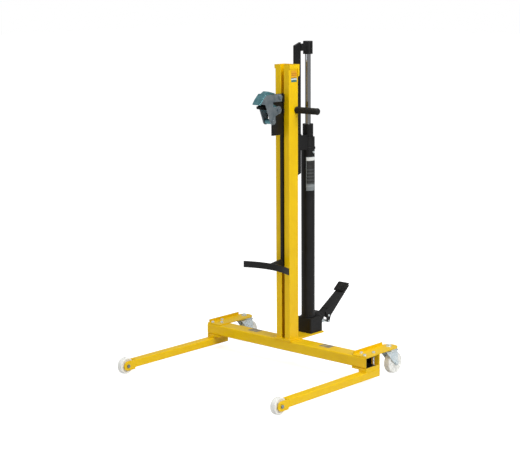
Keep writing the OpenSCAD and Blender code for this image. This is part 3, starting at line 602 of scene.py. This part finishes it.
grids = []
for low, high in solids("bracket_bolts"):
    grids += bolt_grids(low, high, "Z", radius=4, flat=6.4, head_height=5.3, tail=2,
                        washer_height=2)
make_piece("bracket_bolt_set", grids, "chassis", zinc_plate, ["bracket_bolts"])

grids = []
for low, high in solids("roller_axles"):
    grids += bolt_grids(low, high, "X", radius=5, flat=7.6, head_height=6.4, tail=0.6,
                        washer_height=0.6)
make_piece("roller_axle_set", grids, "chassis", cheek_zinc, ["roller_axles"])

for side in ("left", "right"):
    low, high, _ = box(f"castor_axle_{side}")
    grids = bolt_grids(low, high, "X", radius=6, flat=8.5, head_height=6.8, tail=0.6,
                       washer_height=0.6)
    make_piece(f"castor_axle_bolt_{side}", grids, f"castor_fork_{side}", zinc_plate,
               [f"castor_axle_{side}"])
print("meshes so far", len(bpy.data.meshes))

# %% [markdown]
# ## Springs
# The two torsion springs are helices. In the engineering model they are closed rings, which is
# enough to hold their place. Here each is one wire: a circle swept along a helix about X.


# %% Torsion springs
def coil_grid(node, wire, turns):
    """Helix inside the node's box: x rises by one wire per turn while y and z go round."""
    low, high, centre = box(node)
    angle = np.linspace(0, 2 * np.pi * turns, int(turns * 40))
    reach = (high[2] - low[2]) / 2 - wire
    rise = np.linspace(low[0] + wire, high[0] - wire, len(angle))
    path = np.stack([rise, centre[1] + reach * np.cos(angle), centre[2] + reach * np.sin(angle)], 1)
    radius = np.full(len(angle), wire)
    radius[[0, -1]] = 1e-7
    return sweep(path, radius, (1.0, 0.0, 0.0))


make_piece("jaw_spring_wire", [coil_grid("jaw_spring", wire=0.0009, turns=1.8)], "clamp_jaw",
           zinc_plate, ["jaw_spring"], 60)
make_piece("pedal_spring_wire", [coil_grid("pedal_spring", wire=0.0012, turns=4.6)], "pedal",
           zinc_plate, ["pedal_spring"], 60)

# %% [markdown]
# ## Grips and tread
# The handles wear ribbed rubber sleeves with a collar at the mast and a domed end. Rubber over
# a tube is a lathe with a ripple round it. The tread on the pedal is a moulded pad: a closed
# section with ridges across it, carried sideways and pulled in at both ends.


# %% Ribbed grips
DOME = 8
FLUTES = 28
FLUTE_DEPTH = 0.7
RING_PITCH = 30
COLLAR_STEP = 0.9


def grip_grid(node, sign):
    """r(x, t) = collar and dome profile, less a ripple of FLUTES between them, which stops
    at a plain ring every RING_PITCH."""
    low, high, centre = box(node)
    length = (high[0] - low[0]) / MM
    outer = (high[2] - low[2]) / 2 / MM
    sides = 168
    along = np.concatenate([[0, 0.01], np.linspace(0.5, 6, 5), np.linspace(7, length - 9, 60),
                            length - DOME + DOME * np.sin(np.linspace(0, np.pi / 2, 12))])
    radius = np.full(len(along), outer - COLLAR_STEP)
    radius[(along > 0.3) & (along < 6.5)] = outer
    radius[0] = 0.0
    dome = along > length - DOME - 0.01
    radius[dome] = outer - DOME + DOME * np.cos(np.linspace(0, np.pi / 2, 12))
    radius[-1] = outer - DOME
    turn = np.linspace(0, 2 * np.pi, sides, endpoint=False)
    fade = np.clip((along - 9) / 3, 0, 1) * np.clip((length - 14 - along) / 3, 0, 1)
    rings = 1 - 0.9 * (np.abs((along - 12) % RING_PITCH - RING_PITCH / 2) > 13.6)
    ripple = FLUTE_DEPTH * (fade * rings)[:, None] * np.cos(FLUTES * turn)[None, :] ** 2
    radius = np.vstack([radius[:, None] - ripple, np.zeros((1, sides))])
    along = np.append(along, length)
    start = np.array([low[0] if sign > 0 else high[0], centre[1], centre[2]])
    return turned(radius * MM, sign * np.repeat(along[:, None], sides, 1) * MM, start, "X")


make_piece("ribbed_grip_left", [grip_grid("handle_grip_left", -1)], "chassis", black_rubber,
           ["handle_grip_left"])
make_piece("ribbed_grip_right", [grip_grid("handle_grip_right", 1)], "chassis", black_rubber,
           ["handle_grip_right"])


# %% Tread pad
RIDGE_HEIGHT = 1.1
RIDGE_PITCH = 7


def tread_grid(tilt_degrees=39.8, thickness=8.0, length=55.0):
    """Closed section (s along the tread, h above it), carried over x. Its ridges are a sine of s
    clipped to flat tops, and near both ends it shrinks as 1 - sqrt(1 - |2 x / width| ** 12)."""
    low, high, centre = box("pedal_pad")
    width = (high[0] - low[0]) / MM
    top_s = np.linspace(-length / 2 + 1.5, length / 2 - 1.5, 120)
    ridges = RIDGE_HEIGHT * np.clip(np.sin((top_s + 1.2) * 2 * np.pi / RIDGE_PITCH) * 2.5, -1, 1)
    top = np.stack([top_s, thickness / 2 - 1.2 + ridges], 1)
    edge = np.array([[length / 2, thickness / 2 - 2.4], [length / 2, -thickness / 2 + 1.5],
                     [length / 2 - 1.5, -thickness / 2], [-length / 2 + 1.5, -thickness / 2],
                     [-length / 2, -thickness / 2 + 1.5], [-length / 2, thickness / 2 - 2.4]])
    section = np.vstack([top, edge])
    x = width / 2 * np.sin(np.linspace(-np.pi / 2, np.pi / 2, 41))
    inset = 3 * (1 - np.sqrt(np.clip(1 - (np.abs(x) / (width / 2)) ** 12, 0, 1)))
    shrink = 1 - inset[:, None, None] / np.array([length / 2, thickness / 2])
    rows = section[None] * np.clip(shrink, 0.3, 1)
    rows = np.concatenate([rows[:1] * 0, rows, rows[-1:] * 0])
    x = np.concatenate([x[:1], x, x[-1:]])
    tilt = math.radians(tilt_degrees)
    y = rows[..., 0] * math.cos(tilt) - rows[..., 1] * math.sin(tilt)
    z = rows[..., 0] * math.sin(tilt) + rows[..., 1] * math.cos(tilt)
    points = np.stack([np.repeat(x[:, None], y.shape[1], 1), y, z], -1) * MM
    points[..., 1:] += centre[1:]
    return points, (False, True)


make_piece("tread_pad", [tread_grid()], "pedal", black_rubber, ["pedal_pad"], 50)

# %% [markdown]
# ## Weld beads
# The chassis is welded, and a fillet weld reads as a row of overlapping ripples. Each bead is a
# sweep whose radius swells once per ripple and closes at both ends. Half of it lies inside the
# metal, so only the fillet shows.


# %% Beads along an edge
def bead(start, end, radius=2.2, pitch=2.4):
    """r(s) = radius * (0.86 + 0.14 |sin(pi s / pitch)|), tapered over the first and last 3 mm."""
    start, end = np.asarray(start, float), np.asarray(end, float)
    length = np.linalg.norm(end - start) / MM
    s = np.linspace(0, length, max(int(length / pitch * 6), 12))
    taper = np.sqrt(np.clip(np.minimum(s, length - s) / 3, 0, 1))
    ripple = 0.86 + 0.14 * np.abs(np.sin(np.pi * s / pitch))
    path = start + (end - start) * (s / length)[:, None]
    up = (0.0, 0.0, 1.0) if abs(end[2] - start[2]) < length * MM / 2 else (1.0, 0.0, 0.0)
    return sweep(path, radius * ripple * (taper + 1e-4) * MM, up, 10)


def ring_bead(centre, ring, radius, axis, pitch=2.4):
    """The same bead bent round an axis: a torus whose tube radius ripples."""
    around = np.linspace(0, 2 * np.pi, int(2 * np.pi * ring / pitch) * 6, endpoint=False)
    ripples = round(2 * np.pi * ring / pitch)
    tube = radius * (0.86 + 0.14 * np.abs(np.sin(around * ripples / 2)))
    turn = np.linspace(0, 2 * np.pi, 10, endpoint=False)[:, None]
    across = (ring + tube * np.cos(turn)) * MM
    along = tube * np.sin(turn) * MM
    points, _ = turned(across, along, centre, axis)
    return points, (True, True)


def outline_beads(low, high, level, radius=2.2):
    """Four beads round a rectangle in plan, at one height."""
    corners = [(low[0], low[1]), (high[0], low[1]), (high[0], high[1]), (low[0], high[1])]
    return [bead((*a, level), (*b, level), radius)
            for a, b in zip(corners, corners[1:] + corners[:1])]


# %% Where the chassis is welded
plate_low, plate_high, _ = box("foot_plate")
beads = []
for side in ("left", "right"):
    low, high, _ = box(f"mast_channel_{side}")
    beads += outline_beads(low, high, plate_high[2], 2.6)
    leg_low, leg_high, _ = box(f"leg_{side}")
    joint = leg_low[1]
    beads.append(bead((leg_low[0] + 0.003, joint, leg_high[2]),
                      (leg_high[0] - 0.003, joint, leg_high[2]), 1.8))
    for x in (leg_low[0], leg_high[0]):
        beads.append(bead((x, joint, leg_low[2] + 0.002), (x, joint, leg_high[2] - 0.002), 0.9))
beam_low, beam_high, _ = box("crossbeam")
for x in (plate_low[0], plate_high[0]):
    beads.append(bead((x, beam_low[1] + 0.004, beam_high[2]),
                      (x, beam_high[1] - 0.004, beam_high[2]), 2.4))
beads.append(bead((plate_low[0], beam_low[1], beam_high[2]),
                  (plate_high[0], beam_low[1], beam_high[2]), 2.0))
make_piece("weld_beads", beads, "chassis", yellow_powder, (), 60)

ram_low, ram_high, ram_middle = box("ram_tube")
tie_low, _, _ = box("ram_bracket")
tube_radius = (ram_high[0] - ram_low[0]) / 2 / MM - 1
rings = [ring_bead((0, ram_middle[1], level), tube_radius + 0.4, 1.8, "Z")
         for level in (ram_low[2] + 8 * MM, tie_low[2] + 9 * MM, tie_low[2])]
make_piece("ram_weld_rings", rings, "chassis", black_enamel, (), 60)
print("weld beads", len(beads) + len(rings))

# %% [markdown]
# ## Plates and marks
# The ram carries a rating plate and the mast and crossbeam a few stickers. They are thin
# sheets that stand a fraction of a millimetre off the metal. The one on the ram is bent round it, so
# it is a grid in angle and height. Their print is only plain bars of tone.


# %% Bent and flat plates
TUBE_COLLAR = 1 * MM


def tube_plate(node, low_z, high_z, middle_degrees, width_degrees, gap=0.3):
    """P(t, z) = centre + (r + gap) (cos t, sin t), a band of a cylinder with a thin edge."""
    low, high, centre = box(node)
    radius = (high[0] - low[0]) / 2 - TUBE_COLLAR
    t = np.radians(np.linspace(-0.5, 0.5, 33) * width_degrees + middle_degrees)
    z = np.array([low_z, high_z])
    rows = []
    for r in (radius - 0.001, radius + gap * MM):
        rows.append(np.stack([np.stack([centre[0] + r * np.cos(t), centre[1] + r * np.sin(t),
                                        np.full(len(t), level)], -1) for level in z]))
    return [(np.stack([rows[0][0], rows[1][0], rows[1][1], rows[0][1]]), (True, False))]


def flat_plate(low, high):
    """A thin box with its four walls as one closed loop and both ends collapsed to a point."""
    low, high = np.minimum(low, high), np.maximum(low, high)
    ring = np.array([[low[0], low[1]], [high[0], low[1]], [high[0], high[1]], [low[0], high[1]]])
    middle = np.repeat(ring.mean(0)[None], 4, 0)
    rows = [np.column_stack([r, np.full(4, z)])
            for r, z in ((middle, low[2]), (ring, low[2]), (ring, high[2]), (middle, high[2]))]
    return [(np.stack(rows), (False, True))]


def printed(name, ground, ink, rows, start, axis="Z", inked=0.55, shine=0.35):
    """Sticker material: a bar of ink across each row, with some rows left blank at random,
    over a plain ground.
    """
    material = bpy.data.materials.new(name)
    material.use_nodes = True
    tree = material.node_tree
    shader = tree.nodes["Principled BSDF"]
    coords = add(tree, "ShaderNodeTexCoord").outputs["Object"]
    parts = add(tree, "ShaderNodeSeparateXYZ")
    tree.links.new(coords, parts.inputs[0])
    along = math_node(tree, "SUBTRACT", parts.outputs[axis], start)
    line = math_node(tree, "MULTIPLY", along, rows)
    row = math_node(tree, "FLOOR", line, 0)
    within = math_node(tree, "FRACT", line, 0)
    cells = add(tree, "ShaderNodeTexWhiteNoise", noise_dimensions="1D")
    tree.links.new(row, cells.inputs["W"])
    on_bar = math_node(tree, "LESS_THAN", within, inked)
    shown = math_node(tree, "GREATER_THAN", cells.outputs["Value"], 0.25)
    ink_mask = math_node(tree, "MULTIPLY", on_bar, shown)
    grime = ramp(tree, noise(tree, coords, 120.0, 5.0), 0.35, 0.8)
    printed_colour = mix(tree, ink_mask, colour(ground), colour(ink))
    aged = mix(tree, math_node(tree, "MULTIPLY", grime, 0.12), printed_colour, colour("8C877A"))
    tree.links.new(aged, shader.inputs["Base Color"])
    tree.links.new(math_node(tree, "ADD", shine, math_node(tree, "MULTIPLY", grime, 0.15)),
                   shader.inputs["Roughness"])
    return material


label_top = ram_high[2] - 92 * MM
plain_grey = printed("grey label", "7D8487", "9BA2A4", 150.0, label_top, inked=0.5)
plain_white = printed("white label", "E4E6E4", "D2D6D4", 90.0, label_top, inked=0.2)
plate_print = printed("ram rating plate", "17191A", "3C4142", 62.0, label_top, inked=0.45)
for name, drop, height, width, lift, print_kind in (
        ("ram_label_border", 0, 160, 130, 0.25, plain_grey),
        ("ram_label_corner", 2, 16, 126, 0.35, plain_white),
        ("ram_label_field", 19, 110, 122, 0.40, plate_print)):
    high_z = label_top - drop * MM
    make_piece(name, tube_plate("ram_tube", high_z - height * MM, high_z, 0, width, lift),
               "chassis", print_kind)

channel_low, channel_high, _ = box("mast_channel_right")
side_x = channel_high[0]
marks = (
    ("sticker_amber", 1.3565, 1.3885, printed("amber sticker", "E9A90F", "C98306", 130.0, 1.35)),
    ("sticker_dark", 1.3530, 1.3560, printed("dark band", "4E5A52", "3E4A44", 900.0, 1.35)),
    ("sticker_white", 1.3460, 1.3530, printed("white band", "E6ECEB", "C4D2D2", 300.0, 1.34)),
    ("sticker_teal", 1.3365, 1.3460, printed("teal band", "3F7E73", "2F665C", 400.0, 1.33)))
for name, low_z, high_z, print_kind in marks:
    make_piece(name, flat_plate((side_x - 0.0005, channel_low[1] + 0.0146, low_z),
                                (side_x + 0.0003, channel_high[1] - 0.0092, high_z)),
               "chassis", print_kind)

beam_label = printed("beam label", "B9A878", "5E5C60", 130.0, 0.0, axis="X", inked=0.55)
HALF_LABEL = 0.031
for name, x in (("beam_label_right", 0.2245), ("beam_label_left", -0.225)):
    make_piece(name, flat_plate((x - HALF_LABEL, beam_low[1] + 0.030, beam_high[2] - 0.0004),
                                (x + HALF_LABEL, beam_low[1] + 0.076, beam_high[2] + 0.0003)),
               "chassis", beam_label)

# %% [markdown]
# ## Floor, light and camera
# A white sweep has no horizon: the floor glows a little, so that it meets the white sky, and
# only soft contact shadows are left. The sky is dimmer for every ray that isn't the camera's,
# which keeps the paint's colour deep. The key light stands on the camera's right, because the
# lifter's side faces should be lighter than its front, and a broad one brightens what looks up.


# %% Floor and backdrop
FLOOR_REACH = 30
FLOOR_GREY = 0.7
FLOOR_GLOW = 0.8
SKY_ON_OBJECTS = 0.34


def stage_floor():
    """A sheet that lies on the floor and is far wider than the view."""
    span = np.linspace(-FLOOR_REACH, FLOOR_REACH, 3)
    u, v = np.meshgrid(span, span, indexing="ij")
    points = np.stack([u, v, np.zeros_like(u)], -1)
    faces = grid_faces(points, (False, False), 0)
    mesh = bpy.data.meshes.new("studio_floor")
    mesh.from_pydata(points.reshape(-1, 3).tolist(), [], faces.tolist())
    floor = bpy.data.objects.new("studio_floor", mesh)
    bpy.context.scene.collection.objects.link(floor)
    material = bpy.data.materials.new("pale floor")
    material.use_nodes = True
    shader = material.node_tree.nodes["Principled BSDF"]
    shader.inputs["Base Color"].default_value = (FLOOR_GREY,) * 3 + (1,)
    shader.inputs["Roughness"].default_value = 0.9
    shader.inputs["Specular IOR Level"].default_value = 0.0
    shader.inputs["Emission Color"].default_value = (1, 1, 1, 1)
    seen = add(material.node_tree, "ShaderNodeLightPath").outputs["Is Camera Ray"]
    glow = math_node(material.node_tree, "MULTIPLY", seen, FLOOR_GLOW)
    material.node_tree.links.new(glow, shader.inputs["Emission Strength"])
    mesh.materials.append(material)
    if mesh.polygons[0].normal.z < 0:
        mesh.flip_normals()
    floor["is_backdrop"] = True


stage_floor()
world = bpy.data.worlds.new("studio")
bpy.context.scene.world = world
world.use_nodes = True
sky = world.node_tree
sky.nodes["Background"].inputs["Color"].default_value = (1, 1, 1, 1)
ray = add(sky, "ShaderNodeLightPath").outputs["Is Camera Ray"]
strength = add(sky, "ShaderNodeMapRange")
strength.inputs["To Min"].default_value = SKY_ON_OBJECTS
strength.inputs["To Max"].default_value = 1.0
sky.links.new(ray, strength.inputs["Value"])
sky.links.new(strength.outputs["Result"], sky.nodes["Background"].inputs["Strength"])


# %% Lights
def area_light(name, place, target, size, power):
    light = bpy.data.lights.new(name, "AREA")
    light.shape = "DISK"
    light.size = size
    light.energy = power
    lamp = bpy.data.objects.new(name, light)
    bpy.context.scene.collection.objects.link(lamp)
    lamp.location = place
    lamp.rotation_euler = (Vector(target) - Vector(place)).to_track_quat("-Z", "Y").to_euler()


middle = (cad_low + cad_high) / 2
area_light("key", (4.2, -0.6, 3.2), middle, size=2.5, power=135)
area_light("fill", (-1.0, -4.5, 2.2), middle, size=3.0, power=42)
area_light("overhead", (0.2, 0.4, 4.2), middle, size=3.0, power=70)
bpy.context.scene.view_settings.view_transform = "Standard"

# %% [markdown]
# The camera stands a little above and well to the right of the front, far enough away that the
# mast's edges stay nearly parallel.

# %% Camera
AZIMUTH, ELEVATION, ROLL = map(math.radians, (42.27, 10.14, -0.39))
DISTANCE = 6.703
target = Vector((-0.1405, (cad_low.y + cad_high.y) / 2 + 0.0693, 0.6595))
back = Vector((math.sin(AZIMUTH) * math.cos(ELEVATION),
               -math.cos(AZIMUTH) * math.cos(ELEVATION), math.sin(ELEVATION)))
camera_data = bpy.data.cameras.new("camera")
camera_data.sensor_width = 36
camera_data.lens = 98.7
camera = bpy.data.objects.new("camera", camera_data)
bpy.context.scene.collection.objects.link(camera)
bpy.context.scene.camera = camera
camera.location = target + back * DISTANCE
turn = (-back).to_track_quat("-Z", "Y").to_matrix() @ Matrix.Rotation(ROLL, 3, "Z")
camera.rotation_euler = turn.to_euler()

# %% [markdown]
# ## Sizes
# The box of the finished model is printed. The finished model may not grow past the
# engineering model's box.

# %% Print the visual box
bpy.context.view_layer.update()
low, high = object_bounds()
print("visual box", [round(v, 4) for v in (*low, *high)])
